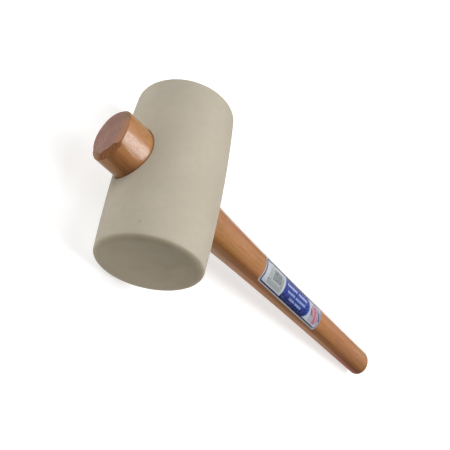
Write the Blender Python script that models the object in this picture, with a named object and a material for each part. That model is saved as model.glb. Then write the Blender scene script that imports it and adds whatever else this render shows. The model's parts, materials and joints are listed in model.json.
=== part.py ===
"""Rubber mallet: a moulded rubber head on an oval hardwood handle, with a film label on the grip.

The mallet lies on its side, as it does when put down: the belly of the head and the underside
of the grip's end touch the floor. +X runs along the handle towards the grip, +Y along the head
from one striking face to the other, and +Z is up. The origin is on the floor, under the middle
of the mallet's box. Everything is in metres.
"""

import math

import bmesh
import bpy
from mathutils import Vector

MM = 0.001

# Head: a short barrel, turned about its own axis.
HEAD_DIAMETER = 90 * MM  # at the middle, where it is fattest
HEAD_END_DIAMETER = 85 * MM  # at the striking faces, before the rims are rounded
HEAD_LENGTH = 155.5 * MM
RIM_ALONG = 4.0 * MM  # how far the rounded rim reaches along the head
RIM_ACROSS = 6.0 * MM  # and across the striking face

# Handle: every section is an oval, wider along the head's axis than it is thick.
THICKNESS_TO_WIDTH = 0.85
EYE_DROP = 3.4 * MM  # the eye sits this far below the head's axis
STUB_REACH = 68 * MM  # from the head's axis to the sawn end
STUB_WIDTH = 46.8 * MM
SEAT_TOP_WIDTH = 47.4 * MM  # where the handle enters the head, on the stub's side
SEAT_FOOT_WIDTH = 41.2 * MM  # where it leaves, on the grip's side
SEAT_TOP = -38 * MM
SEAT_FOOT = 43 * MM
GRIP_WIDTH = 32 * MM
WAIST_LENGTH = 85 * MM  # how slowly the handle thins from the seat's width to the grip's
HANDLE_REACH = 398 * MM  # from the head's axis to the end of the grip
GRIP_END_RADIUS = 6.2 * MM
CHAMFER_ALONG = 2.9 * MM
CHAMFER_ACROSS = 3.6 * MM

# Label: a film with rounded corners, wrapped over the upper side of the grip.
LABEL_START = 140.5 * MM  # from the head's axis
LABEL_END = 261.5 * MM
LABEL_BACK_EDGE = -10.0 * MM  # along the handle's skin from its crest, positive towards -Y
LABEL_FRONT_EDGE = 19.2 * MM
LABEL_CORNER = 3.0 * MM
LABEL_THICKNESS = 0.3 * MM

GAP = 0.3 * MM  # clearance between pieces that touch

HEAD_SIDES = 56
HANDLE_SIDES = 40
HALF_TURN = math.pi


def head_radius(along):
    """The barrel's radius at this distance from its middle, along its axis: a parabola."""
    drop = (HEAD_DIAMETER - HEAD_END_DIAMETER) / 2
    return HEAD_DIAMETER / 2 - drop * (2 * along / HEAD_LENGTH) ** 2


def handle_width(along):
    """The handle's full width at this distance from the head's axis, towards the grip."""
    if along < SEAT_TOP:
        share = (along + STUB_REACH) / (SEAT_TOP + STUB_REACH)
        return STUB_WIDTH + (SEAT_TOP_WIDTH - STUB_WIDTH) * share
    if along < SEAT_FOOT:
        share = (along - SEAT_TOP) / (SEAT_FOOT - SEAT_TOP)
        return SEAT_TOP_WIDTH + (SEAT_FOOT_WIDTH - SEAT_TOP_WIDTH) * share
    return GRIP_WIDTH + (SEAT_FOOT_WIDTH - GRIP_WIDTH) * math.exp((SEAT_FOOT - along) / WAIST_LENGTH)


def resting_lean():
    """How far the handle slopes down towards the grip when the head and the grip both touch the floor."""
    contact = HANDLE_REACH - GRIP_END_RADIUS
    underside = EYE_DROP + handle_width(contact) / 2 * THICKNESS_TO_WIDTH
    return math.asin(HEAD_DIAMETER / 2 / math.hypot(contact, underside)) - math.atan2(underside, contact)


def material(name, colour, roughness, coat=0.0):
    made = bpy.data.materials.new(name)
    made.use_nodes = True
    shader = made.node_tree.nodes["Principled BSDF"]
    shader.inputs["Base Color"].default_value = (*colour, 1)
    shader.inputs["Roughness"].default_value = roughness
    shader.inputs["Coat Weight"].default_value = coat
    made.diffuse_color = (*colour, 1)
    return made


def add_object(name, bm, parent, look=None):
    """An object from this bmesh, with its faces turned outwards and its round sides shaded smooth."""
    bmesh.ops.recalc_face_normals(bm, faces=bm.faces)
    mesh = bpy.data.meshes.new(name)
    bm.to_mesh(mesh)
    bm.free()
    mesh.shade_smooth()
    mesh.set_sharp_from_angle(angle=math.radians(35))
    made = bpy.data.objects.new(name, mesh)
    bpy.context.scene.collection.objects.link(made)
    made.parent = parent
    if look:
        mesh.materials.append(look)
    return made


def loft(rings):
    """A closed solid through these rings of points, with a flat cap on the first and the last."""
    bm = bmesh.new()
    loops = [[bm.verts.new(point) for point in ring] for ring in rings]
    for near, far in zip(loops, loops[1:]):
        for i in range(len(near)):
            bm.faces.new((near[i - 1], near[i], far[i], far[i - 1]))
    bm.faces.new(loops[0])
    bm.faces.new(loops[-1])
    return bm


def add_head(frame, look):
    """The barrel, turned about Y. It has a side's corner straight up and straight down as the mallet rests."""
    shoulder = HEAD_LENGTH / 2 - RIM_ALONG
    turned = []
    rim_steps = 5
    for step in range(rim_steps + 1):
        angle = HALF_TURN / 2 * step / rim_steps
        inset = RIM_ACROSS * (1 - math.sin(angle))
        turned.append((-shoulder - RIM_ALONG * math.cos(angle), head_radius(shoulder) - inset))
    belly_steps = 14
    for step in range(1, belly_steps):
        along = shoulder * (2 * step / belly_steps - 1)
        turned.append((along, head_radius(along)))
    turned += [(-along, radius) for along, radius in reversed(turned[: rim_steps + 1])]

    turns = [2 * HALF_TURN * i / HEAD_SIDES - resting_lean() for i in range(HEAD_SIDES)]
    rings = []
    for along, radius in turned:
        rings.append([(radius * math.sin(turn), along, radius * math.cos(turn)) for turn in turns])
    return add_object("rubber_head", loft(rings), frame, look)


def oval(along, width, shear=0.0):
    """A ring of the handle's section. The shear slants the ring's plane, as a saw cut out of square does."""
    ring = []
    for i in range(HANDLE_SIDES):
        turn = 2 * HALF_TURN * i / HANDLE_SIDES
        up = width / 2 * THICKNESS_TO_WIDTH * math.sin(turn)
        ring.append((along - shear * up, width / 2 * math.cos(turn), up))
    return ring


def add_handle(frame, look):
    """One piece of wood, from the chamfered sawn end to the rounded end of the grip."""
    # The sawn end is cut upright while the mallet lies down, so it leans back by the resting slope.
    shear = math.tan(resting_lean())
    rings = [
        oval(-STUB_REACH, STUB_WIDTH - 2 * CHAMFER_ACROSS, shear),
        oval(-STUB_REACH + CHAMFER_ALONG, STUB_WIDTH, shear),
    ]
    seat_steps = 4
    for step in range(seat_steps + 1):
        along = SEAT_TOP + (SEAT_FOOT - SEAT_TOP) * step / seat_steps
        rings.append(oval(along, handle_width(along)))
    last_section = HANDLE_REACH - GRIP_END_RADIUS
    grip_steps = 14
    for step in range(1, grip_steps + 1):
        # The steps grow towards the grip, because the curve is strongest by the head.
        along = SEAT_FOOT + (last_section - SEAT_FOOT) * (step / grip_steps) ** 1.5
        rings.append(oval(along, handle_width(along)))
    end_steps = 4
    for step in range(1, end_steps + 1):
        angle = HALF_TURN / 2 * step / end_steps
        inset = GRIP_END_RADIUS * (1 - math.cos(angle))
        rings.append(oval(last_section + GRIP_END_RADIUS * math.sin(angle), handle_width(last_section) - 2 * inset))
    made = add_object("wooden_handle", loft(rings), frame, look)
    made.location.z = -EYE_DROP
    return made


def cut_eye(head, frame):
    """The tapered oval hole that the handle is driven into, a gap wider than the handle all round."""
    overshoot = 15 * MM
    rings = []
    for along in (SEAT_TOP - overshoot, SEAT_TOP, SEAT_FOOT, SEAT_FOOT + overshoot):
        rings.append(oval(along, handle_width(along) + 2 * GAP / THICKNESS_TO_WIDTH))
    cutter = add_object("eye_cutter", loft(rings), frame)
    cutter.location.z = -EYE_DROP
    cutter.hide_render = True
    cutter.display_type = "WIRE"
    cut = head.modifiers.new("eye", "BOOLEAN")
    cut.operation = "DIFFERENCE"
    cut.solver = "EXACT"
    cut.object = cutter


def skin_point(along, arc, lift):
    """The point over the handle's skin at this distance round it from its crest, raised along its normal."""
    half = handle_width(along) / 2
    steps = 60
    angle = HALF_TURN / 2
    for _ in range(steps):
        speed = math.hypot(half * math.sin(angle), half * THICKNESS_TO_WIDTH * math.cos(angle))
        angle += arc / steps / speed
    across = half * math.cos(angle)
    up = half * THICKNESS_TO_WIDTH * math.sin(angle)
    outwards = Vector((0, math.cos(angle) * THICKNESS_TO_WIDTH, math.sin(angle))).normalized()
    return Vector((along, across, up)) + outwards * lift


def add_label(handle, look):
    """The film, a grid laid over the handle's skin and then given its thickness."""
    width = LABEL_FRONT_EDGE - LABEL_BACK_EDGE
    corner_steps = 4
    flat_steps = 12
    corner = [LABEL_CORNER * (1 - math.cos(HALF_TURN / 2 * i / corner_steps)) for i in range(corner_steps)]
    flat = [LABEL_CORNER + (width - 2 * LABEL_CORNER) * i / flat_steps for i in range(flat_steps + 1)]
    rows = corner + flat + [width - inset for inset in reversed(corner)]
    columns = 18

    bm = bmesh.new()
    grid = []
    for row in rows:
        into_corner = max(0, LABEL_CORNER - min(row, width - row))
        cut_back = LABEL_CORNER - math.sqrt(LABEL_CORNER**2 - into_corner**2)
        start, end = LABEL_START + cut_back, LABEL_END - cut_back
        line = []
        for i in range(columns + 1):
            along = start + (end - start) * i / columns
            line.append(bm.verts.new(skin_point(along, LABEL_BACK_EDGE + row, GAP)))
        grid.append(line)
    for near, far in zip(grid, grid[1:]):
        for i in range(columns):
            bm.faces.new((near[i], near[i + 1], far[i + 1], far[i]))
    made = add_object("handle_label", bm, handle, look)
    if made.data.polygons[0].normal.z < 0:
        made.data.flip_normals()
    film = made.modifiers.new("film", "SOLIDIFY")
    film.thickness = LABEL_THICKNESS
    film.offset = 1.0
    return made


def settle(frame, pieces):
    """Leans the mallet as it rests, stands it on the floor and centres its box on the origin."""
    frame.rotation_euler.y = resting_lean()
    bpy.context.view_layer.update()
    points = [piece.matrix_world @ vertex.co for piece in pieces for vertex in piece.data.vertices]
    lowest = Vector([min(point[axis] for point in points) for axis in range(3)])
    highest = Vector([max(point[axis] for point in points) for axis in range(3)])
    frame.location = (-(lowest.x + highest.x) / 2, -(lowest.y + highest.y) / 2, -lowest.z)


def main():
    for old in list(bpy.data.objects):
        bpy.data.objects.remove(old)
    frame = bpy.data.objects.new("mallet_frame", None)
    bpy.context.scene.collection.objects.link(frame)

    head = add_head(frame, material("off_white_rubber", (0.52, 0.49, 0.40), 0.75))
    handle = add_handle(frame, material("varnished_hardwood", (0.36, 0.15, 0.06), 0.35, coat=0.6))
    add_label(handle, material("printed_film", (0.75, 0.76, 0.78), 0.35))
    cut_eye(head, frame)
    settle(frame, [head, handle])


main()
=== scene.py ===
"""The looks of the rubber mallet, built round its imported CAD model.

The head, the handle and the label are each rebuilt as a fine mesh in the mallet's own axes: X along
the handle towards the grip, Y along the head, with the origin at the middle of the head. The frame's
mounts say where those axes lie in the row frame. Everything is in metres.
"""

import json
import math

import bmesh
import bpy
from mathutils import Matrix, Vector, noise

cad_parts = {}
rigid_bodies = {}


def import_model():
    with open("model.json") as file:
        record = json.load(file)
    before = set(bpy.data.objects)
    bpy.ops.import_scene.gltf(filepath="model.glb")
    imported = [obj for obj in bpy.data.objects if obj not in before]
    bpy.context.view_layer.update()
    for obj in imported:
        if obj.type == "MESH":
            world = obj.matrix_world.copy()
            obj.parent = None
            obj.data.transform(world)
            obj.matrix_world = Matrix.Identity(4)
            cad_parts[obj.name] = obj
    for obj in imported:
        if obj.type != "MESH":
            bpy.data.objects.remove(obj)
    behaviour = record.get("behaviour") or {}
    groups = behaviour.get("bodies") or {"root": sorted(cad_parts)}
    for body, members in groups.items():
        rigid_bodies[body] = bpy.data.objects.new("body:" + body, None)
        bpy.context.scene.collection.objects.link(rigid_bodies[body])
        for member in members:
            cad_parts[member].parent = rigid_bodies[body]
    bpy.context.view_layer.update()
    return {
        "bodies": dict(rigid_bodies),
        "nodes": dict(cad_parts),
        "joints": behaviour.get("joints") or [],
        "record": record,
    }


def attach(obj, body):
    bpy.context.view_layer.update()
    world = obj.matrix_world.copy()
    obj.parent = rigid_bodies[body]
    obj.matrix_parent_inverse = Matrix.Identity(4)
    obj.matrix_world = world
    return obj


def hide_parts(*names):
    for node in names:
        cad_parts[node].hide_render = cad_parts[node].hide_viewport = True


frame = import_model()

MM = 0.001
QUARTER_TURN = math.pi / 2

# The mallet's driving dimensions, as the CAD model has them.
HEAD_DIAMETER = 90 * MM
HEAD_END_DIAMETER = 85 * MM
HEAD_LENGTH = 155.5 * MM
RIM_ALONG = 4.0 * MM
RIM_ACROSS = 6.0 * MM
THICKNESS_TO_WIDTH = 0.85
EYE_DROP = 3.4 * MM
STUB_REACH = 68 * MM
STUB_WIDTH = 46.8 * MM
SEAT_TOP_WIDTH = 47.4 * MM
SEAT_FOOT_WIDTH = 41.2 * MM
SEAT_TOP = -38 * MM
SEAT_FOOT = 43 * MM
GRIP_WIDTH = 32 * MM
WAIST_LENGTH = 85 * MM
HANDLE_REACH = 398 * MM
GRIP_END_RADIUS = 6.2 * MM
LABEL_START = 140.5 * MM
LABEL_END = 261.5 * MM
LABEL_BACK_EDGE = -10.0 * MM
LABEL_FRONT_EDGE = 19.2 * MM
LABEL_CORNER = 3.0 * MM

# Head mesh.
HEAD_COLUMNS = 128
HALF_BELLY_ROWS = 32
EYE_PATCH_ROWS = 13  # the eye's patch replaces this many rows of the barrel, each way from its middle
EYE_PATCH_COLUMNS = 12  # and this many columns
STUB_COLUMN = 0  # the grid's first column runs over the middle of the eye on the stub's side
FIRST_TURN = -math.asin(EYE_DROP / (HEAD_DIAMETER / 2))
GRIP_COLUMN = round((math.pi - 2 * FIRST_TURN) / (4 * QUARTER_TURN) * HEAD_COLUMNS)
SHOULDER = HEAD_LENGTH / 2 - RIM_ALONG  # where the barrel meets the rim
SKIN_UNEVENNESS = 0.10 * MM
LIP_RADIUS = 1.1 * MM
EYE_CLEARANCE = 0.05 * MM

# Handle and label meshes.
HANDLE_SIDES = 112
STUB_SLANT_LENGTH = 8 * MM  # how far from the sawn face the rings are cut on its slant
GRIP_END_SECTION = HANDLE_REACH - GRIP_END_RADIUS  # where the grip's rounded end begins
WHITTLE_DEPTH = 0.22 * MM
ARRIS_WORN = 0.45 * MM  # how far the sawn face's edge is worn round
SIDE_ARRIS_WORN = 0.5 * MM  # and the chamfer's edge on the side
LABEL_LIFT = 0.06 * MM
LABEL_THICKNESS = 0.12 * MM
LABEL_RIPPLE = 0.02 * MM
PRINT_MAP = "print_mm"  # the UV map with each point's place on the flat label


# ---------------------------------------- shape formulas


def head_radius(along):
    drop = (HEAD_DIAMETER - HEAD_END_DIAMETER) / 2
    return HEAD_DIAMETER / 2 - drop * (2 * along / HEAD_LENGTH) ** 2


def handle_width(along):
    if along < SEAT_TOP:
        share = (along + STUB_REACH) / (SEAT_TOP + STUB_REACH)
        return STUB_WIDTH + (SEAT_TOP_WIDTH - STUB_WIDTH) * share
    if along < SEAT_FOOT:
        share = (along - SEAT_TOP) / (SEAT_FOOT - SEAT_TOP)
        return SEAT_TOP_WIDTH + (SEAT_FOOT_WIDTH - SEAT_TOP_WIDTH) * share
    return GRIP_WIDTH + (SEAT_FOOT_WIDTH - GRIP_WIDTH) * math.exp((SEAT_FOOT - along) / WAIST_LENGTH)


def oval_point(along, half_width, turn):
    """A point of the handle's section: turn 0 is towards +Y and a quarter turn is the crest."""
    return Vector(
        (along, half_width * math.cos(turn), half_width * THICKNESS_TO_WIDTH * math.sin(turn) - EYE_DROP)
    )


def mallet_axes():
    """The matrix from the mallet's own axes to the row frame, and the handle's slope, from the mounts."""
    mounts = {mount["name"]: Vector(mount["pos_m"]) for mount in frame["record"]["mounts"]}
    centre = (mounts["front_striking_face"] + mounts["back_striking_face"]) / 2
    sawn_end = mounts["sawn_handle_end"] - centre
    lean = math.atan2(sawn_end.z, -sawn_end.x) + math.atan2(EYE_DROP, STUB_REACH)
    return Matrix.Translation(centre) @ Matrix.Rotation(lean, 4, "Y"), lean


AXES, LEAN = mallet_axes()


# ---------------------------------------- mesh helpers


def add_object(name, bm, materials=(), axes=AXES):
    """An object in the row frame from a mesh that was built in the mallet's own axes."""
    bmesh.ops.recalc_face_normals(bm, faces=bm.faces)
    mesh = bpy.data.meshes.new(name)
    bm.to_mesh(mesh)
    bm.free()
    mesh.transform(axes)
    mesh.shade_smooth()
    for material in materials:
        mesh.materials.append(material)
    made = bpy.data.objects.new(name, mesh)
    bpy.context.scene.collection.objects.link(made)
    return made


def bridge(bm, near, far, slot=0):
    """A band of quads between two closed loops of the same length."""
    for i in range(len(near)):
        face = bm.faces.new((near[i - 1], near[i], far[i], far[i - 1]))
        face.material_index = slot


def cap(bm, loop, slot=0):
    """Closes a loop with a fan of triangles round its middle."""
    middle = bm.verts.new(sum((vertex.co for vertex in loop), Vector()) / len(loop))
    for i in range(len(loop)):
        bm.faces.new((loop[i - 1], loop[i], middle)).material_index = slot


# ---------------------------------------- head


def barrel_point(turn, along, sink=0.0):
    """A point of the head's skin: turn 0 is the stub's side and a quarter turn is the top."""
    radius = head_radius(along) - sink
    return Vector((-radius * math.cos(turn), along, radius * math.sin(turn)))


def uneven(point):
    """The slight unevenness of moulded rubber, outwards from the perfect shape and never above it."""
    swell = noise.noise(point * 28) * 0.5 + noise.noise(point * 75) * 0.25
    return -(0.75 - swell) * SKIN_UNEVENNESS


def on_barrel(across, up, side):
    """How far along X the skin is, at this across and up. The side is -1 by the stub and 1 by the grip."""
    return side * math.sqrt(head_radius(across) ** 2 - up**2)


def eye_edge(side, turn, clear):
    """Where the eye's wall, this far clear of the wood, would cut the barrel's skin."""
    along = side * HEAD_DIAMETER / 2
    for _ in range(6):
        edge = oval_point(along, handle_width(along) / 2 + clear, turn)
        along = on_barrel(edge.y, edge.z, side)
    edge.x = along
    return edge


def in_eye_patch(row, column, margin):
    """Whether a point of the barrel's grid is in the patch round an eye, by this margin or more."""
    if abs(row - HALF_BELLY_ROWS) > EYE_PATCH_ROWS - margin:
        return False
    for centre in (STUB_COLUMN, GRIP_COLUMN):
        apart = (column - centre + HEAD_COLUMNS // 2) % HEAD_COLUMNS - HEAD_COLUMNS // 2
        if abs(apart) <= EYE_PATCH_COLUMNS - margin:
            return True
    return False


def add_barrel(bm, turns):
    """The barrel's skin, open at its ends and round the eyes. Returns its points by row and column."""
    rows = [SHOULDER * j / HALF_BELLY_ROWS for j in range(-HALF_BELLY_ROWS, HALF_BELLY_ROWS + 1)]
    grid = {}
    for row, along in enumerate(rows):
        for column, turn in enumerate(turns):
            if not in_eye_patch(row, column, 1):
                point = barrel_point(turn, along)
                grid[row, column] = bm.verts.new(barrel_point(turn, along, -uneven(point)))
    for row in range(len(rows) - 1):
        for column in range(HEAD_COLUMNS):
            beside = (column + 1) % HEAD_COLUMNS
            corners = [(row, column), (row, beside), (row + 1, beside), (row + 1, column)]
            complete = all(corner in grid for corner in corners)
            if complete and not all(in_eye_patch(*corner, 0) for corner in corners):
                bm.faces.new([grid[corner] for corner in corners])
    return grid


def add_head(materials):
    """One closed skin: the barrel, its two rounded rims and flat faces, and the eye through its middle."""
    bm = bmesh.new()
    turns = [FIRST_TURN + 4 * QUARTER_TURN * i / HEAD_COLUMNS for i in range(HEAD_COLUMNS)]
    grid = add_barrel(bm, turns)
    stub_lip = add_eye_patch(bm, grid, -1, STUB_COLUMN)
    grip_lip = add_eye_patch(bm, grid, 1, GRIP_COLUMN)
    add_eye_wall(bm, stub_lip, grip_lip)
    for end, row in ((-1, 0), (1, 2 * HALF_BELLY_ROWS)):
        belly_edge = [grid[row, column] for column in range(HEAD_COLUMNS)]
        add_striking_end(bm, belly_edge, turns, end)
    return add_object("rubber_head_skin", bm, materials)


def patch_outline(grid, side, centre):
    """The barrel's points round the eye's patch, in the same order of across and up on both sides."""
    rows, columns = EYE_PATCH_ROWS, EYE_PATCH_COLUMNS
    steps = [(-rows, c) for c in range(-columns, columns)]
    steps += [(r, columns) for r in range(-rows, rows)]
    steps += [(rows, -c) for c in range(-columns, columns)]
    steps += [(-r, -columns) for r in range(-rows, rows)]
    return [grid[HALF_BELLY_ROWS + r, (centre - side * c) % HEAD_COLUMNS] for r, c in steps]


def skin_rings(outline, edges, outwards, side):
    """Rings of points on the barrel, from the patch's outline in to where the lip starts."""
    count = 9
    for step in range(count, -1, -1):
        share = (step / (count + 1)) ** 1.5
        ring = []
        for vertex, edge, outward in zip(outline, edges, outwards):
            start = edge + outward * LIP_RADIUS
            across = start.y + (vertex.co.y - start.y) * share
            up = start.z + (vertex.co.z - start.z) * share
            point = Vector((on_barrel(across, up, side), across, up))
            skin = Vector((point.x, 0, point.z)).normalized()
            ring.append(point + skin * uneven(point))
        yield ring


def lip_rings(edges, outwards, side):
    """Rings of points over the lip, which rounds over into the hole."""
    count = 6
    for step in range(1, count + 1):
        roll = QUARTER_TURN * step / count
        ring = []
        for edge, outward in zip(edges, outwards):
            flat = edge + outward * LIP_RADIUS * (1 - math.sin(roll))
            along = on_barrel(flat.y, flat.z, side) - side * LIP_RADIUS * (1 - math.cos(roll))
            skin = Vector((flat.x, 0, flat.z)).normalized()
            point = Vector((along, flat.y, flat.z))
            ring.append(point + skin * uneven(point) * math.cos(roll))
        yield ring


def add_eye_patch(bm, grid, side, centre):
    """The skin round an eye, with its lip. Returns the lip's inner loop and each point's turn."""
    outline = patch_outline(grid, side, centre)
    aims = [math.atan2((v.co.z + EYE_DROP) / THICKNESS_TO_WIDTH, v.co.y) for v in outline]
    edges = [eye_edge(side, aim, EYE_CLEARANCE) for aim in aims]
    outwards = [Vector((0, math.cos(aim) * THICKNESS_TO_WIDTH, math.sin(aim))).normalized() for aim in aims]
    near = outline
    for rings in (skin_rings(outline, edges, outwards, side), lip_rings(edges, outwards, side)):
        for points in rings:
            ring = [bm.verts.new(point) for point in points]
            bridge(bm, near, ring)
            near = ring
    return near, aims


def add_eye_wall(bm, stub_lip, grip_lip):
    """The tapered oval wall of the eye, from one lip through to the other."""
    near, stub_aims = stub_lip
    far, grip_aims = grip_lip
    wall_rings = 16
    starts = [vertex.co.x for vertex in near]
    ends = [vertex.co.x for vertex in far]
    for step in range(1, wall_rings):
        share = step / wall_rings
        ring = []
        for start, end, first, last in zip(starts, ends, stub_aims, grip_aims):
            turn = first + math.remainder(last - first, 4 * QUARTER_TURN) * share
            along = start + (end - start) * share
            ring.append(bm.verts.new(oval_point(along, handle_width(along) / 2 + EYE_CLEARANCE, turn)))
        bridge(bm, near, ring)
        near = ring
    bridge(bm, near, far)


def add_striking_end(bm, belly_edge, turns, end):
    """The rounded rim and the flat striking face."""
    near = belly_edge
    rim_rings = 12
    face_radius = head_radius(SHOULDER) - RIM_ACROSS
    for step in range(1, rim_rings + 1):
        roll = QUARTER_TURN * step / rim_rings
        ring = []
        for turn in turns:
            inset = RIM_ACROSS * (1 - math.cos(roll))
            point = barrel_point(turn, end * SHOULDER, inset)
            point.y = end * (SHOULDER + RIM_ALONG * math.sin(roll))
            skin = Vector((point.x, 0, point.z)).normalized()
            ring.append(bm.verts.new(point + skin * uneven(point) * math.cos(roll)))
        bridge(bm, near, ring)
        near = ring
    face_rings = 18
    for step in range(1, face_rings):
        share = 1 - step / face_rings
        ring = []
        for turn in turns:
            point = Vector((-math.cos(turn), 0, math.sin(turn))) * face_radius * share
            swell = uneven(point + Vector((0, end, 0))) * min(1, 4 * (1 - share))
            point.y = end * (HEAD_LENGTH / 2 + swell)
            ring.append(bm.verts.new(point))
        bridge(bm, near, ring)
        near = ring
    cap(bm, near)


# ---------------------------------------- handle


def whittle(along, turn):
    """The handle's slight unevenness, in metres inwards. It is longest along the grain."""
    probe = Vector((along * 9, math.cos(turn) * 0.9, math.sin(turn) * 0.9))
    return (0.5 + 0.5 * noise.noise(probe)) * WHITTLE_DEPTH


def smooth_step(value, low, high):
    share = min(1, max(0, (value - low) / (high - low)))
    return share * share * (3 - 2 * share)


# The sawn end's chamfer is cut by hand: for each stroke, the turns in degrees where it begins and
# ends, and how far it reaches across the sawn face and along the side. The crest is hardly touched.
FAR_STROKE = (3.3 * MM, 3.0 * MM)  # across and along, wherever there is no other stroke
STROKES = (
    (44, 130, 1.3 * MM, 0.6 * MM),
    (137, 192, 8.0 * MM, 2.0 * MM),
    (192, 248, 5.8 * MM, 2.4 * MM),
)
STROKE_BLEND = 6  # degrees either side over which one stroke runs into the next


def chamfer_size(turn):
    """The chamfer at this turn round the sawn end, across and along."""
    across, along = FAR_STROKE
    degrees = math.degrees(turn) % 360
    for start, end, stroke_across, stroke_along in STROKES:
        share = smooth_step(degrees, start - STROKE_BLEND, start + STROKE_BLEND)
        share *= 1 - smooth_step(degrees, end - STROKE_BLEND, end + STROKE_BLEND)
        across += (stroke_across - across) * share
        along += (stroke_along - along) * share
    unevenness = 1 + 0.14 * noise.noise(Vector((math.cos(turn) * 1.7, math.sin(turn) * 1.7, 4.2)))
    return across * unevenness, along * unevenness


def worn_corner(before, corner, after, worn):
    """The corner of an outline, worn round over this length each way, as points of a curve."""
    before, corner, after = Vector(before), Vector(corner), Vector(after)
    start = corner + (before - corner).normalized() * worn
    end = corner + (after - corner).normalized() * worn
    steps = 4
    points = []
    for step in range(steps + 1):
        share = step / steps
        points.append(start.lerp(corner, share).lerp(corner.lerp(end, share), share))
    return points


SAWN, CHAMFER, SIDE = range(3)  # the handle's material slots, in the order of its outline


def sawn_end_outline(turn):
    """From the middle of the sawn face out over the chamfer, as distances from the face and the axis."""
    across, along = chamfer_size(turn)
    face_edge = STUB_WIDTH / 2 - across
    middle = (0, 0)
    inner = (0, face_edge)
    outer = (along, STUB_WIDTH / 2)
    beyond = (STUB_SLANT_LENGTH, STUB_WIDTH / 2)
    face = [Vector((0, face_edge * part)) for part in (0.06, 0.2, 0.36, 0.52, 0.68, 0.82, 0.92)]
    inner_arris = worn_corner(middle, inner, outer, ARRIS_WORN)
    outer_arris = worn_corner(inner, outer, beyond, SIDE_ARRIS_WORN)
    chamfer = [inner_arris[-1].lerp(outer_arris[0], part) for part in (0.33, 0.67)]
    return face + inner_arris, chamfer + outer_arris[:3], outer_arris[3:]


def sawn_end_rings(turns):
    """Rings over the sawn face and its chamfer, each with its material slot.

    The end is cut upright while the mallet lies down, so it leans back by the resting slope.
    """
    outlines = [sawn_end_outline(turn) for turn in turns]
    for slot in (SAWN, CHAMFER, SIDE):
        for step in range(len(outlines[0][slot])):
            ring = []
            for turn, outline in zip(turns, outlines):
                inwards, half_width = outline[slot][step]
                point = oval_point(inwards - STUB_REACH, half_width, turn)
                point.x -= math.tan(LEAN) * (point.z + EYE_DROP)
                ring.append(point)
            yield slot, ring


def side_rings(turns):
    """Rings along the handle, of which the first few ease from the sawn end's slant to square."""
    first_section = STUB_SLANT_LENGTH - STUB_REACH
    count, easing = 190, 8
    for step in range(count + 1):
        along = first_section + (GRIP_END_SECTION - first_section) * step / count
        eased = min(1, step / easing)
        ring = []
        for turn in turns:
            point = oval_point(along, handle_width(along) / 2 - whittle(along, turn) * eased, turn)
            point.x -= math.tan(LEAN) * (point.z + EYE_DROP) * (1 - eased)
            ring.append(point)
        yield SIDE, ring


def grip_end_rings(turns):
    """Rings over the grip's rounded edge and its flat end."""
    end_half_width = handle_width(GRIP_END_SECTION) / 2
    count = 10
    for step in range(1, count + 1):
        roll = QUARTER_TURN * step / count
        along = GRIP_END_SECTION + GRIP_END_RADIUS * math.sin(roll)
        half_width = end_half_width - GRIP_END_RADIUS * (1 - math.cos(roll))
        ring = []
        for turn in turns:
            cut = whittle(GRIP_END_SECTION, turn) * math.cos(roll)
            ring.append(oval_point(along, half_width - cut, turn))
        yield SIDE, ring
    for share in (0.8, 0.6, 0.4, 0.2, 0.06):
        half_width = (end_half_width - GRIP_END_RADIUS) * share
        yield SIDE, [oval_point(HANDLE_REACH, half_width, turn) for turn in turns]


def add_handle(materials):
    """One closed piece of wood, from the middle of the sawn end to the middle of the grip's end."""
    bm = bmesh.new()
    turns = [4 * QUARTER_TURN * i / HANDLE_SIDES for i in range(HANDLE_SIDES)]
    loops = []
    for rings in (sawn_end_rings(turns), side_rings(turns), grip_end_rings(turns)):
        for slot, points in rings:
            loop = [bm.verts.new(point) for point in points]
            if loops:
                bridge(bm, loops[-1], loop, slot)
            loops.append(loop)
    cap(bm, loops[0], SAWN)
    cap(bm, loops[-1], SIDE)
    return add_object("wooden_handle_grain", bm, materials)


# ---------------------------------------- label


def skin_point(along, arc, lift):
    """The point over the handle's skin at this distance round it from its crest, positive towards -Y."""
    half = handle_width(along) / 2
    turn = QUARTER_TURN
    steps = 40
    for _ in range(steps):
        speed = math.hypot(half * math.sin(turn), half * THICKNESS_TO_WIDTH * math.cos(turn))
        turn += arc / steps / speed
    outwards = Vector((0, math.cos(turn) * THICKNESS_TO_WIDTH, math.sin(turn))).normalized()
    return oval_point(along, half - whittle(along, turn), turn) + outwards * lift


def label_rows(width):
    """How far each row of the film is from its back edge. They are closer over the round corners."""
    corner_steps, flat_steps = 6, 30
    corner = [LABEL_CORNER * (1 - math.cos(QUARTER_TURN * i / corner_steps)) for i in range(corner_steps)]
    flat = [LABEL_CORNER + (width - 2 * LABEL_CORNER) * i / flat_steps for i in range(flat_steps + 1)]
    return corner + flat + [width - inset for inset in reversed(corner)]


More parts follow.
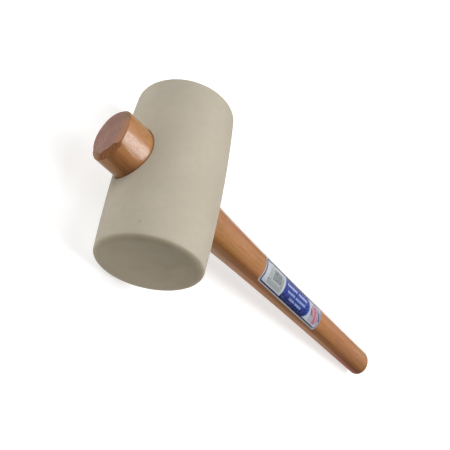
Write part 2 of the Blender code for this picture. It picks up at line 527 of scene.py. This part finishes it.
def add_label(materials):
    """The film, laid over the handle's skin. Its UV map holds the flat label's millimetres."""
    width = LABEL_FRONT_EDGE - LABEL_BACK_EDGE
    columns = 110
    bm = bmesh.new()
    layer = bm.loops.layers.uv.new(PRINT_MAP)
    places, grid = {}, []
    for row in label_rows(width):
        into_corner = max(0, LABEL_CORNER - min(row, width - row))
        cut_back = LABEL_CORNER - math.sqrt(LABEL_CORNER**2 - into_corner**2)
        start, end = LABEL_START + cut_back, LABEL_END - cut_back
        line = []
        for i in range(columns + 1):
            along = start + (end - start) * i / columns
            ripple = noise.noise(Vector((along * 60, row * 90, 0))) * LABEL_RIPPLE
            vertex = bm.verts.new(skin_point(along, LABEL_BACK_EDGE + row, LABEL_LIFT + ripple))
            places[vertex] = ((along - LABEL_START) / MM, row / MM)
            line.append(vertex)
        grid.append(line)
    for near, far in zip(grid, grid[1:]):
        for i in range(columns):
            bm.faces.new((near[i], near[i + 1], far[i + 1], far[i]))
    for face in bm.faces:
        for loop in face.loops:
            loop[layer].uv = places[loop.vert]
    made = add_object("handle_label_film", bm, materials)
    if made.data.polygons[0].normal.z < 0:
        made.data.flip_normals()
    film = made.modifiers.new("film", "SOLIDIFY")
    film.thickness = LABEL_THICKNESS
    film.offset = 1.0
    return made


# ---------------------------------------- materials


class Shader:
    """A material's node tree, with short ways to add the nodes that the looks below need."""

    def __init__(self, name):
        self.material = bpy.data.materials.new(name)
        self.material.use_nodes = True
        self.tree = self.material.node_tree
        self.principled = self.tree.nodes["Principled BSDF"]

    def node(self, kind, inputs=None, **settings):
        made = self.tree.nodes.new(kind)
        for key, value in settings.items():
            setattr(made, key, value)
        for key, value in (inputs or {}).items():
            self.feed(made.inputs[key], value)
        return made

    def feed(self, socket, value):
        if isinstance(value, bpy.types.NodeSocket):
            self.tree.links.new(value, socket)
        else:
            socket.default_value = value

    def finish(self, **values):
        """Sets the surface's sockets by their names, written with _ for a space."""
        for key, value in values.items():
            self.feed(self.principled.inputs[key.replace("_", " ")], value)
        return self.material

    def math(self, operation, *values):
        made = self.node("ShaderNodeMath", operation=operation)
        for socket, value in zip(made.inputs, values):
            self.feed(socket, value)
        return made.outputs[0]

    def times(self, first, second):
        return self.math("MULTIPLY", first, second)

    def split(self, vector):
        """The vector's X, Y and Z."""
        return self.node("ShaderNodeSeparateXYZ", {0: vector}).outputs

    def ramp(self, value, low, high, to_low=0.0, to_high=1.0):
        """A smooth step: to_low where the value is under low, to_high where it is over high."""
        made = self.node("ShaderNodeMapRange", interpolation_type="SMOOTHSTEP")
        for socket, given in zip(made.inputs, (value, low, high, to_low, to_high)):
            self.feed(socket, given)
        return made.outputs[0]

    def mix(self, share, first, second, blend="MIX"):
        """The first colour where the share is 0, and the second, or the two blended, where it is 1."""
        made = self.node("ShaderNodeMixRGB", blend_type=blend)
        for socket, given in zip(made.inputs, (share, first, second)):
            self.feed(socket, given)
        return made.outputs[0]

    def place(self, stretch=(1, 1, 1), origin=(0, 0, 0)):
        """Metres along the mallet's own axes from this origin, times the stretch."""
        row = self.node("ShaderNodeTexCoord").outputs["Object"]
        own = self.node("ShaderNodeMapping", {"Vector": row}, vector_type="TEXTURE")
        own.inputs["Location"].default_value = AXES.translation
        own.inputs["Rotation"].default_value = (0, LEAN, 0)
        shifted = self.vectors("SUBTRACT", own.outputs[0], origin)
        return self.vectors("MULTIPLY", shifted.outputs[0], stretch).outputs[0]

    def vectors(self, operation, first, second=(0, 0, 0)):
        return self.node("ShaderNodeVectorMath", {0: first, 1: second}, operation=operation)

    def noise(self, where, scale, detail=2.0, roughness=0.5, distortion=0.0):
        inputs = {
            "Vector": where,
            "Scale": scale,
            "Detail": detail,
            "Roughness": roughness,
            "Distortion": distortion,
        }
        return self.node("ShaderNodeTexNoise", inputs).outputs["Fac"]

    def bump(self, height, distance, under=None):
        """A normal for a height from 0 to 1 that stands for this distance, over the normal under it."""
        made = self.node("ShaderNodeBump", {"Height": height, "Distance": distance, "Strength": 1.0})
        if under:
            self.feed(made.inputs["Normal"], under)
        return made.outputs[0]

    def spot(self, where, centre, radius, soft):
        """1 within this distance of the centre, falling to 0 over the soft distance."""
        away = self.vectors("DISTANCE", where, centre).outputs["Value"]
        return self.ramp(away, radius, radius + soft, 1.0, 0.0)


def colour(red, green, blue):
    """A shader colour from screen values of 0 to 255."""

    def linear(value):
        value /= 255
        return value / 12.92 if value <= 0.04045 else ((value + 0.055) / 1.055) ** 2.4

    return (linear(red), linear(green), linear(blue), 1)


NICK = Vector((-38.3, -65.2, 20.0)) * MM  # a small nick in the head's skin, by the rim on the stub's side


def rubber():
    """Matt moulded rubber: cloudy tone, a fine tooth, a few faint specks and one nick."""
    shader = Shader("off_white_rubber")
    where = shader.place()
    cloud = shader.noise(where, 17, 3, 0.55)
    base = shader.mix(shader.ramp(cloud, 0.32, 0.68), colour(175, 166, 149), colour(182, 173, 156))
    mottle = shader.noise(where, 130, 3, 0.6)
    base = shader.mix(shader.ramp(mottle, 0.35, 0.75, 0.0, 0.35), base, colour(168, 160, 141))
    speck = shader.noise(where, 620, 1, 0.5)
    base = shader.mix(shader.ramp(speck, 0.735, 0.765, 0.0, 0.16), base, colour(120, 110, 95))
    base = soil_and_shade_the_ends(shader, where, base)
    nick = shader.spot(where, NICK, 0.3 * MM, 0.9 * MM)
    base = shader.mix(shader.times(nick, 0.5), base, colour(130, 116, 98))

    tooth = shader.noise(where, 1500, 2, 0.6)
    pitted = shader.bump(shader.math("SUBTRACT", tooth, nick), 0.05 * MM)
    swirl = shader.bump(shader.noise(where, 240, 3, 0.5), 0.10 * MM, pitted)
    dull = shader.ramp(cloud, 0.3, 0.7, 0.66, 0.78)
    return shader.finish(Base_Color=base, Roughness=dull, Specular_IOR_Level=0.3, Normal=swirl)


def soil_and_shade_the_ends(shader, where, base):
    """Handling rubs the rims a little darker. The struck faces carry painted shade, deepest at the top."""
    parts = shader.split(where)
    end, up = parts["Y"], parts["Z"]
    from_middle = shader.math("ABSOLUTE", end)
    rim = shader.ramp(from_middle, 72 * MM, 77 * MM)
    rub = shader.times(rim, shader.ramp(shader.noise(where, 60, 3), 0.35, 0.7, 0.1, 0.5))
    base = shader.mix(rub, base, colour(160, 151, 133))
    # Painted shade: the struck faces are darker than the barrel, most of all towards the top.
    struck = shader.ramp(from_middle, 74.2 * MM, 76.2 * MM)
    painted_shade = shader.mix(shader.ramp(up, -30 * MM, 38 * MM), colour(252, 247, 240), colour(236, 230, 220))
    base = shader.mix(struck, base, painted_shade, "MULTIPLY")
    # Painted shade: the back end is a touch darker from its middle up.
    back_end_shade = shader.times(shader.ramp(end, 10 * MM, 75 * MM), shader.ramp(up, -10 * MM, 15 * MM))
    return shader.mix(back_end_shade, base, colour(248, 248, 249), "MULTIPLY")


PITH = Vector((0, -26, -48)) * MM  # the middle of the tree's rings, well outside the handle
RING_SCALE = 118  # gives a ring about every 2.7 mm
FRONT_SHADE = (0.58, 0.505, 0.38, 1)  # the painted shade along the front, as a factor
GRIP_FRONT_SHADE = (0.62, 0.34, 0.20, 1)  # the painted shade along the front of the grip's end, as a factor
GRIP_SHADE = (0.80, 0.80, 0.84, 1)  # painted shade on the grip above its front, as a factor


def wood_rings(shader):
    """0 to 1 across each ring of the tree. The rings run along the handle and waver a little."""
    where = shader.place((0.055, 1, 1), PITH)
    inputs = {
        "Vector": where,
        "Scale": RING_SCALE,
        "Distortion": 5.0,
        "Detail": 2.0,
        "Detail Scale": 0.22,
        "Detail Roughness": 0.5,
    }
    made = shader.node(
        "ShaderNodeTexWave", inputs, wave_type="RINGS", rings_direction="X", wave_profile="SAW"
    )
    return made.outputs["Fac"]


def stained_wood(shader, fibre, fleck, cloud, pores):
    """Stained hardwood's own colour, with its rings, fibres, flecks and pores."""
    warmth = shader.noise(shader.place((0.35, 1, 1), (0.3, 0.1, 0)), 38, 2, 0.5)
    golden = shader.mix(shader.ramp(warmth, 0.38, 0.62), colour(158, 108, 56), colour(172, 112, 74))
    base = shader.mix(shader.ramp(cloud, 0.3, 0.7, 0.0, 0.5), golden, colour(182, 130, 88))
    base = shader.mix(shader.ramp(wood_rings(shader), 0.35, 0.95, 0.0, 0.18), base, colour(136, 82, 46))
    base = shader.mix(shader.ramp(fibre, 0.35, 0.72, 0.0, 0.35), base, colour(186, 136, 88))
    base = shader.mix(shader.ramp(fleck, 0.55, 0.70, 0.0, 0.24), base, colour(134, 80, 42))
    return shader.mix(shader.times(pores, 0.35), base, colour(100, 58, 34))


def varnish_relief(shader, along, fibre, fleck, pores):
    """The wood's normal and its varnish's. Both follow the grain, and the varnish is dimpled and wavy."""
    grain = shader.math("SUBTRACT", fibre, shader.times(pores, 0.8))
    under_varnish = shader.bump(grain, 0.05 * MM)
    over_varnish = shader.bump(grain, 0.03 * MM)
    on_stub = shader.ramp(along, -45 * MM, -35 * MM, 2.4, 1.0)  # the dimples are deeper there
    dimpled = shader.bump(shader.times(fleck, on_stub), 0.10 * MM, over_varnish)
    wavy = shader.bump(shader.noise(shader.place((0.3, 1, 1)), 90, 1), 0.16 * MM, dimpled)
    return under_varnish, wavy


def varnished_wood():
    """Stained hardwood under clear varnish: soft rings, flecks and short pores, all along the handle."""
    shader = Shader("varnished_hardwood")
    times = shader.times
    fibre = shader.noise(shader.place((0.05, 1, 1)), 1100, 3, 0.6)
    fleck = shader.noise(shader.place((0.16, 1, 1)), 420, 2, 0.5)
    cloud = shader.noise(shader.place((0.14, 1, 1)), 62, 3, 0.6)
    pores = shader.ramp(shader.noise(shader.place((0.06, 1, 1)), 1500, 1, 0.4), 0.66, 0.72)

    along = shader.split(shader.place())["X"]
    facing = shader.split(shader.node("ShaderNodeTexCoord").outputs["Normal"])
    front, up = times(facing["Y"], -1), facing["Z"]
    painted_shade = times(shader.ramp(front, 0.84, 0.99), shader.ramp(along, 290 * MM, 375 * MM))
    base = stained_wood(shader, fibre, fleck, cloud, pores)
    base = paint_shade_and_highlights(shader, base, along, front, up, painted_shade)

    # The varnish is thin along the front of the handle, and gone where the grip's front has painted shade.
    worn = times(shader.ramp(front, 0.78, 0.97), shader.ramp(along, 60 * MM, 180 * MM, 0.5, 1.0))
    coat = times(shader.ramp(fibre, 0.3, 0.6, 0.75, 0.95), shader.ramp(worn, 0.0, 1.0, 1.0, 0.15))
    coat = times(coat, shader.math("SUBTRACT", 1.0, painted_shade))

    under_varnish, wavy = varnish_relief(shader, along, fibre, fleck, pores)
    return shader.finish(
        Base_Color=base,
        Roughness=shader.ramp(cloud, 0.3, 0.7, 0.42, 0.52),
        Specular_IOR_Level=0.08,
        Normal=under_varnish,
        Coat_Weight=coat,
        Coat_Roughness=0.15,
        Coat_Normal=wavy,
    )


def paint_shade_and_highlights(shader, base, along, front, up, painted_shade):
    """Painted shade along the front and on the grip, a painted sheen on the grip's crest and a painted
    highlight on the stub.
    """
    times = shader.times
    in_front = shader.math("GREATER_THAN", front, 0)

    # A band of painted shade runs all along the front.
    front_shade = times(shader.ramp(up, 0.02, 0.24), shader.ramp(up, 0.50, 0.82, 1.0, 0.0))
    front_shade = times(front_shade, in_front)
    front_shade = times(front_shade, shader.ramp(along, 30 * MM, 130 * MM, 0.78, 1.0))
    base = shader.mix(front_shade, base, FRONT_SHADE, "MULTIPLY")

    # The grip has painted shade along its front and above that, and a painted sheen along the crest.
    base = shader.mix(painted_shade, base, GRIP_FRONT_SHADE, "MULTIPLY")
    # Painted shade on the grip just above its front.
    shaded_grip = times(shader.ramp(up, 0.62, 0.80), shader.ramp(up, 0.88, 0.98, 1.0, 0.4))
    shaded_grip = times(times(shaded_grip, shader.ramp(along, 240 * MM, 340 * MM)), in_front)
    base = shader.mix(shaded_grip, base, GRIP_SHADE, "MULTIPLY")
    # Painted sheen along the crest by the grip's end.
    crest_sheen = times(shader.ramp(up, 0.86, 0.97, 0.0, 0.16), shader.ramp(along, 345 * MM, 375 * MM))
    base = shader.mix(crest_sheen, base, colour(188, 150, 128))

    # A painted highlight sits on the stub just below its crest in front, in small patches between crazed
    # varnish.
    stub_highlight = times(shader.ramp(up, 0.82, 0.95, 0.0, 0.27), shader.ramp(up, 0.975, 0.998, 1.0, 0.0))
    stub_highlight = times(stub_highlight, shader.ramp(along, -45 * MM, -40 * MM, 1.0, 0.0))
    stub_highlight = times(stub_highlight, in_front)
    crazing = shader.noise(shader.place((0.6, 1, 1)), 700, 2, 0.6)
    stub_highlight = times(stub_highlight, shader.ramp(crazing, 0.38, 0.56, 0.35, 1.25))
    return shader.mix(stub_highlight, base, colour(206, 184, 170))


SAWN_MIDDLE = Vector((-STUB_REACH, 0, -EYE_DROP))


def sawn_wood():
    """Bare end grain, with the tree's rings across it, open pores and the saw's marks."""
    shader = Shader("sawn_end_grain")
    where = shader.place()
    fleck = shader.noise(where, 420, 3, 0.65)
    pores = shader.ramp(shader.noise(where, 1500, 1, 0.4), 0.62, 0.70)
    stain = shader.noise(where, 75, 3)

    base = shader.mix(shader.ramp(stain, 0.35, 0.65), colour(140, 104, 92), colour(153, 118, 106))
    faint = shader.ramp(shader.noise(where, 110, 2), 0.35, 0.65, 0.05, 0.32)
    ring = shader.times(shader.ramp(wood_rings(shader), 0.3, 0.95), faint)
    base = shader.mix(ring, base, colour(116, 80, 66))
    base = shader.mix(shader.ramp(fleck, 0.35, 0.75, 0.0, 0.35), base, colour(164, 130, 112))
    base = shader.mix(shader.times(pores, 0.45), base, colour(90, 60, 50))
    dull = shader.spot(where, SAWN_MIDDLE + Vector((0, 12, 1)) * MM, 2 * MM, 8 * MM)
    base = shader.mix(shader.times(dull, 0.6), base, colour(126, 92, 82))

    # Stain has soaked in round the upper edge. It is redder in front than behind.
    oval = shader.place((0, 1, 1 / THICKNESS_TO_WIDTH), (0, 0, -EYE_DROP))
    parts = shader.split(oval)
    ragged = shader.times(shader.noise(where, 160, 2), 5 * MM)
    from_axis = shader.math("ADD", shader.vectors("LENGTH", oval).outputs["Value"], ragged)
    stain_and_shade = shader.ramp(from_axis, 11 * MM, 24 * MM)
    stain_and_shade = shader.times(stain_and_shade, shader.ramp(parts["Z"], 2 * MM, 16 * MM, 0.0, 0.9))
    behind = shader.ramp(parts["Y"], 4 * MM, 12 * MM)
    base = shader.mix(stain_and_shade, base, shader.mix(behind, colour(164, 116, 82), colour(130, 104, 80)))

    kerf = shader.noise(shader.place((1, 0.06, 1)), 900, 2, 0.6)
    sunk = shader.bump(shader.math("SUBTRACT", fleck, pores), 0.06 * MM)
    sawn = shader.bump(kerf, 0.08 * MM, sunk)
    return shader.finish(Base_Color=base, Roughness=0.72, Specular_IOR_Level=0.3, Normal=sawn)


def chamfer_wood():
    """The cut edge of the sawn end: painted shade in front, a painted bounce light underneath, paler by the
    crest, redder over it.
    """
    shader = Shader("chamfered_edge")
    fleck = shader.noise(shader.place((0.3, 1, 1)), 500, 3, 0.6)
    parts = shader.split(shader.place())
    back, up = parts["Y"], parts["Z"]

    def flecked(dark, light):
        return shader.mix(shader.ramp(fleck, 0.3, 0.7), colour(*dark), colour(*light))

    # Painted bounce light: the cut is paler underneath, where the floor lights it.
    pale = flecked((140, 102, 78), (158, 122, 98))
    # Stain and painted shade: the cut is dark in front, where it faces away from the lights, less so by the
    # crest.
    stain_and_shade = flecked((110, 68, 36), (136, 88, 52))
    stain_and_shade = shader.mix(shader.ramp(up, 7 * MM, 12 * MM), stain_and_shade, colour(148, 100, 66))
    front = shader.mix(shader.ramp(up, -15 * MM, -6 * MM), pale, stain_and_shade)
    reddish = flecked((158, 108, 74), (174, 124, 90))
    reddish = shader.mix(shader.ramp(back, 3 * MM, 10 * MM), reddish, colour(138, 108, 82))
    behind = shader.mix(shader.ramp(up, 6 * MM, 12 * MM), colour(142, 108, 90), reddish)
    base = shader.mix(shader.ramp(back, -15 * MM, -9 * MM), front, behind)
    base = shader.mix(shader.ramp(wood_rings(shader), 0.35, 0.95, 0.0, 0.25), base, colour(100, 56, 32))
    cut = shader.bump(fleck, 0.08 * MM)
    return shader.finish(Base_Color=base, Roughness=0.55, Specular_IOR_Level=0.12, Normal=cut)


# The label's layout, in millimetres across it and down it. A navy line runs round inside its margin.
FRAME_LEFT, FRAME_RIGHT = 1.9, 120.0
FRAME_TOP, FRAME_BOTTOM = 2.6, 27.7
FRAME_LINE = 1.5
# The blue field has a straight end by the silver panel and a round one towards the grip.
FIELD_START = 39.9
FIELD_ROUND_MIDDLE = Vector((80.0, 15.0, 0))
FIELD_ROUND_RADIUS = 14.2
# Three lines of broken bars stand for text: how far down, then each word's start and end.
TEXT_ROWS = (
    (9.8, ((44.6, 65.0), (68.8, 87.4))),
    (16.0, ((47.8, 62.6), (64.4, 85.2))),
    (21.2, ((54.6, 65.2), (67.0, 80.0))),
)
TEXT_HALF_HEIGHT = 1.25
# The badge's bars lean by this much for each millimetre down. Each has its start and end across, then down.
BADGE_LEAN = 0.35
RED_BARS = (
    (96.6, 98.6, 8.0, 19.6),
    (100.4, 105.0, 6.4, 24.6),
    (106.8, 108.8, 6.4, 22.0),
)
BLUE_BARS = (
    (93.2, 95.6, 11.0, 18.4),
    (110.2, 113.0, 9.0, 18.4),
)


class Print:
    """Flat shapes printed on the label, measured in millimetres on it.

    Across runs from the end by the head towards the grip, and down from the edge on the crest
    towards the front. Each shape is 1 inside and 0 outside.
    """

    def __init__(self, shader):
        self.shader = shader
        where = shader.node("ShaderNodeUVMap", uv_map=PRINT_MAP).outputs[0]
        parts = shader.split(where)
        self.across, self.down = parts[0], parts[1]

    def band(self, value, low, high):
        return self.shader.math("COMPARE", value, (low + high) / 2, (high - low) / 2)

    def bar(self, left, right, top, bottom):
        return self.shader.times(self.band(self.across, left, right), self.band(self.down, top, bottom))

    def slanted(self, left, right, top, bottom, lean):
        slant = self.shader.math("SUBTRACT", self.across, self.shader.times(self.down, lean))
        return self.shader.times(self.band(slant, left, right), self.band(self.down, top, bottom))

    def length(self, across, down):
        square = [self.shader.math("POWER", value, 2) for value in (across, down)]
        return self.shader.math("SQRT", self.shader.math("ADD", *square))

    def rounded(self, left, right, top, bottom, radius):
        """A bar with round corners."""
        math = self.shader.math
        beyond = []
        for value, low, high in ((self.across, left, right), (self.down, top, bottom)):
            from_middle = math("ABSOLUTE", math("SUBTRACT", value, (low + high) / 2))
            beyond.append(math("MAXIMUM", math("SUBTRACT", from_middle, (high - low) / 2 - radius), 0))
        return math("LESS_THAN", self.length(*beyond), radius)

    def round_ended(self, start, round_middle, radius):
        """A bar that starts square and ends in a half circle round this middle."""
        math = self.shader.math
        beyond = math("MAXIMUM", math("SUBTRACT", self.across, round_middle.x), 0)
        from_middle = self.length(beyond, math("SUBTRACT", self.down, round_middle.y))
        return self.shader.times(
            math("GREATER_THAN", self.across, start), math("LESS_THAN", from_middle, radius)
        )

    def any_of(self, shapes):
        result = shapes[0]
        for shape in shapes[1:]:
            result = self.shader.math("MAXIMUM", result, shape)
        return result

    def stripes(self, value, pitch, share):
        """Lines across a direction, one every pitch, of this share of it."""
        pitches = self.shader.math("DIVIDE", value, pitch)
        return self.shader.math("LESS_THAN", self.shader.math("FRACT", pitches), share)


def printed_film():
    """A glossy film with a generic print: panels, broken bars for lines of text and no lettering."""
    shader = Shader("printed_film")
    ink = Print(shader)
    navy_line = shader.mix(shader.ramp(ink.across, 112, 118), colour(26, 28, 62), colour(110, 112, 150))
    frame = ink.rounded(FRAME_LEFT, FRAME_RIGHT, FRAME_TOP, FRAME_BOTTOM, 3.4)
    base = shader.mix(frame, colour(164, 161, 168), navy_line)
    inside = ink.rounded(
        FRAME_LEFT + FRAME_LINE,
        FRAME_RIGHT - FRAME_LINE,
        FRAME_TOP + FRAME_LINE,
        FRAME_BOTTOM - FRAME_LINE,
        2.0,
    )
    base = shader.mix(inside, base, colour(183, 187, 194))
    base = print_field(ink, base, inside)
    base = print_text(ink, base)
    base = print_panel(ink, base)
    base = print_badge(ink, base)

    wear = shader.noise(shader.place(), 420, 3, 0.65)
    base = shader.mix(shader.ramp(wear, 0.52, 0.8, 0.0, 0.3), base, colour(170, 174, 186))
    crease = shader.noise(shader.place((0.4, 1, 1)), 260, 2, 0.5)
    relief = shader.bump(crease, 0.05 * MM)
    gloss = shader.ramp(wear, 0.35, 0.75, 0.26, 0.40)
    return shader.finish(Base_Color=base, Roughness=gloss, Specular_IOR_Level=0.3, Normal=relief)


def print_field(ink, base, inside):
    """The blue field, with a pale dotted halo round its round end and along its straight one."""
    shader, times = ink.shader, ink.shader.times

    def field(grown):
        grown_field = ink.round_ended(FIELD_START - grown, FIELD_ROUND_MIDDLE, FIELD_ROUND_RADIUS + grown)
        return times(grown_field, inside)

    dots = shader.ramp(shader.noise(shader.place(), 900, 1), 0.4, 0.6)
    halo = shader.mix(dots, colour(106, 122, 172), colour(148, 160, 194))
    rounded_part = shader.math("GREATER_THAN", ink.across, FIELD_ROUND_MIDDLE.x)
    base = shader.mix(times(field(2.6), rounded_part), base, colour(190, 192, 203))
    base = shader.mix(times(field(1.6), rounded_part), base, halo)
    blue = shader.mix(shader.ramp(ink.down, 4, 12), colour(88, 92, 150), colour(34, 52, 130))
    blue = shader.mix(shader.ramp(ink.down, 17, 25), blue, colour(34, 44, 96))
    base = shader.mix(field(0.0), base, blue)
    from_middle = shader.math("ABSOLUTE", shader.math("SUBTRACT", ink.down, 13))
    glow = times(field(0.0), shader.ramp(ink.across, FIELD_START, FIELD_START + 1.8, 1.0, 0.0))
    glow = times(glow, shader.ramp(from_middle, 6, 11, 1.0, 0.0))
    return shader.mix(times(glow, 0.8), base, halo)


def print_text(ink, base):
    """Broken pale bars in place of lines of text."""
    shader, times = ink.shader, ink.shader.times
    bars = []
    for down, words in TEXT_ROWS:
        for first, last in words:
            bars.append(ink.bar(first, last, down - TEXT_HALF_HEIGHT, down + TEXT_HALF_HEIGHT))
    letters = ink.stripes(shader.math("ADD", ink.across, times(ink.down, 0.35)), 1.9, 0.74)
    pale = shader.mix(shader.ramp(ink.down, 10, 16), colour(182, 198, 232), colour(156, 173, 210))
    return shader.mix(times(times(ink.any_of(bars), letters), 0.85), base, pale)


def print_panel(ink, base):
    """The silver panel's print: a striped block, columns of small bars beside it and fine lines below."""
    shader, times = ink.shader, ink.shader.times
    block = ink.bar(17.0, 32.6, 8.0, 18.2)
    pale_block = ink.bar(33.0, 36.2, 9.6, 20.2)
    patch = ink.rounded(11.6, 37.6, 7.0, 25.4, 3.0)
    base = shader.mix(times(patch, 0.5), base, colour(152, 158, 151))
    base = shader.mix(times(block, 0.9), base, colour(122, 127, 130))
    base = shader.mix(times(pale_block, 0.8), base, colour(140, 146, 142))
    stripes = times(ink.any_of([block, pale_block]), ink.stripes(ink.across, 1.15, 0.5))
    base = shader.mix(times(stripes, 0.35), base, colour(92, 98, 102))
    columns = ink.any_of([ink.bar(9.6, 12.6, 8.6, 22.0), ink.bar(14.0, 15.4, 8.6, 20.0)])
    columns = times(columns, ink.stripes(ink.down, 1.55, 0.62))
    lines = times(ink.bar(10.0, 36.0, 19.6, 24.2), ink.stripes(ink.down, 1.75, 0.55))
    return shader.mix(times(ink.any_of([columns, lines]), 0.7), base, colour(112, 118, 122))


def print_badge(ink, base):
    """A soft patch of slanted bars at the grip's end, red in the middle and dark blue outside."""
    shader, times = ink.shader, ink.shader.times
    patch = ink.rounded(98.0, 118.0, 6.0, 24.6, 5.0)
    base = shader.mix(times(patch, 0.7), base, colour(144, 148, 162))
    faded = shader.ramp(shader.noise(shader.place(), 700, 2), 0.4, 0.6)
    red = shader.mix(faded, colour(182, 66, 82), colour(176, 104, 120))
    red_bars = ink.any_of([ink.slanted(*bar, BADGE_LEAN) for bar in RED_BARS])
    base = shader.mix(times(red_bars, 0.9), base, red)
    blue_bars = ink.any_of([ink.slanted(*bar, BADGE_LEAN) for bar in BLUE_BARS])
    return shader.mix(times(blue_bars, 0.85), base, colour(44, 48, 96))


FLOOR_MIDDLE = (0.25, 0.51, 0)  # of the floor's bright part, which alone lights the mallet from below
BRIGHT_REACH = 0.87  # how far the bright part runs from its middle, before it fades
FADED_REACH = 1.0
FLOOR_GLOW = 0.45  # the bright part's own light
SEEN_GLOW = 0.67  # what the camera sees of it, which keeps the shadows soft
SEEN_FAR_GLOW = 0.80  # and of the floor beyond, so that it looks pale all over


def floor_paint():
    """Pale matt paint, lit from below as well as from above."""
    shader = Shader("pale_floor")
    where = shader.node("ShaderNodeTexCoord").outputs["Object"]
    away = shader.vectors("DISTANCE", where, FLOOR_MIDDLE).outputs["Value"]
    near = shader.mix(shader.noise(where, 3, 3), (0.44, 0.44, 0.435, 1), (0.46, 0.46, 0.455, 1))
    base = shader.mix(shader.ramp(away, BRIGHT_REACH, FADED_REACH), near, (0.25, 0.25, 0.25, 1))
    cast = shader.ramp(away, BRIGHT_REACH, FADED_REACH, FLOOR_GLOW, 0.0)
    seen = shader.ramp(away, BRIGHT_REACH, FADED_REACH, SEEN_GLOW, SEEN_FAR_GLOW)
    looked_at = shader.node("ShaderNodeLightPath").outputs["Is Camera Ray"]
    extra = shader.times(shader.math("SUBTRACT", seen, cast), looked_at)
    return shader.finish(
        Base_Color=base,
        Roughness=0.7,
        Emission_Color=(1, 1, 1, 1),
        Emission_Strength=shader.math("ADD", cast, extra),
    )


# ---------------------------------------- stage, light and camera

CAMERA_AZIMUTH = math.radians(-49.893)
CAMERA_ELEVATION = math.radians(35.199)
CAMERA_ROLL = math.radians(74.294)
CAMERA_DISTANCE = 504.36 * MM
CAMERA_AIM = Vector((44.43, -21.41, 28.63)) * MM  # from the middle of the head
CAMERA_LENS = 49.55  # mm, on a sensor 36 mm wide
ROOM_LEVEL = 0.02  # how bright the room is to the object
BACKDROP_LEVEL = 0.85  # how bright it is to the camera
FLOOR_REACH = 4.0
SOFTBOX_DISTANCE = 3.0
# Each light's azimuth and elevation in degrees, its width and height, and its power in watts.
SOFTBOXES = {
    "key": (-2, 57, (2.1, 1.4), 52),
    "top": (20, 78, (1.8, 1.6), 37),
    "low_fill": (166, 25, (2.0, 1.2), 43),
    "high_fill": (166, 50, (2.0, 1.2), 18),
    "front_fill": (-78, 12, (1.2, 0.6), 9),
    "stub_sheen": (38, 48, (1.2, 0.8), 7),
    "back_sheen": (40, 27, (2.6, 1.4), 5),
}
UNMIRRORED = ("front_fill",)  # the lights that nothing glossy reflects


def add_floor():
    bm = bmesh.new()
    bmesh.ops.create_grid(bm, x_segments=8, y_segments=8, size=FLOOR_REACH)
    floor = add_object("floor", bm, [floor_paint()], Matrix())
    if floor.data.polygons[0].normal.z < 0:
        floor.data.flip_normals()


def add_camera():
    data = bpy.data.cameras.new("camera")
    data.sensor_width = 36
    data.lens = CAMERA_LENS
    data.clip_start = 0.01
    camera = bpy.data.objects.new("camera", data)
    turn = (
        Matrix.Rotation(CAMERA_AZIMUTH, 4, "Z")
        @ Matrix.Rotation(QUARTER_TURN - CAMERA_ELEVATION, 4, "X")
        @ Matrix.Rotation(CAMERA_ROLL, 4, "Z")
    )
    aim = AXES.translation + CAMERA_AIM
    camera.matrix_world = Matrix.Translation(aim + turn.to_3x3() @ Vector((0, 0, CAMERA_DISTANCE))) @ turn
    bpy.context.scene.collection.objects.link(camera)
    bpy.context.scene.camera = camera


def add_softbox(name, azimuth, elevation, size, power):
    """A rectangular light that looks at the head from this direction. Azimuth 0 is +X and 90 is +Y."""
    data = bpy.data.lights.new(name, "AREA")
    data.shape = "RECTANGLE"
    data.size, data.size_y = size
    data.energy = power
    light = bpy.data.objects.new(name, data)
    azimuth, elevation = math.radians(azimuth), math.radians(elevation)
    level = math.cos(elevation)
    away = Vector((level * math.cos(azimuth), level * math.sin(azimuth), math.sin(elevation)))
    light.location = AXES.translation + away * SOFTBOX_DISTANCE
    light.rotation_euler = away.to_track_quat("Z", "Y").to_euler()
    light.visible_glossy = name not in UNMIRRORED
    bpy.context.scene.collection.objects.link(light)


def add_light():
    for name, settings in SOFTBOXES.items():
        add_softbox(name, *settings)
    world = bpy.data.worlds.new("studio")
    world.use_nodes = True
    nodes, links = world.node_tree.nodes, world.node_tree.links
    seen = nodes.new("ShaderNodeLightPath")
    level = nodes.new("ShaderNodeMapRange")
    level.inputs["To Min"].default_value = ROOM_LEVEL
    level.inputs["To Max"].default_value = BACKDROP_LEVEL
    links.new(seen.outputs["Is Camera Ray"], level.inputs["Value"])
    links.new(level.outputs[0], nodes["Background"].inputs["Strength"])
    nodes["Background"].inputs["Color"].default_value = (1, 1, 1, 1)
    bpy.context.scene.world = world
    bpy.context.scene.view_settings.view_transform = "Standard"


# ---------------------------------------- assembly


def main():
    add_camera()
    add_light()
    add_floor()
    pieces = (
        (add_head([rubber()]), "rubber_head", "head_rubber"),
        (add_handle([sawn_wood(), chamfer_wood(), varnished_wood()]), "wooden_handle", "handle_wood"),
        (add_label([printed_film()]), "handle_label", "label_film"),
    )
    for piece, node, slot in pieces:
        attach(piece, "root")
        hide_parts(node)


main()
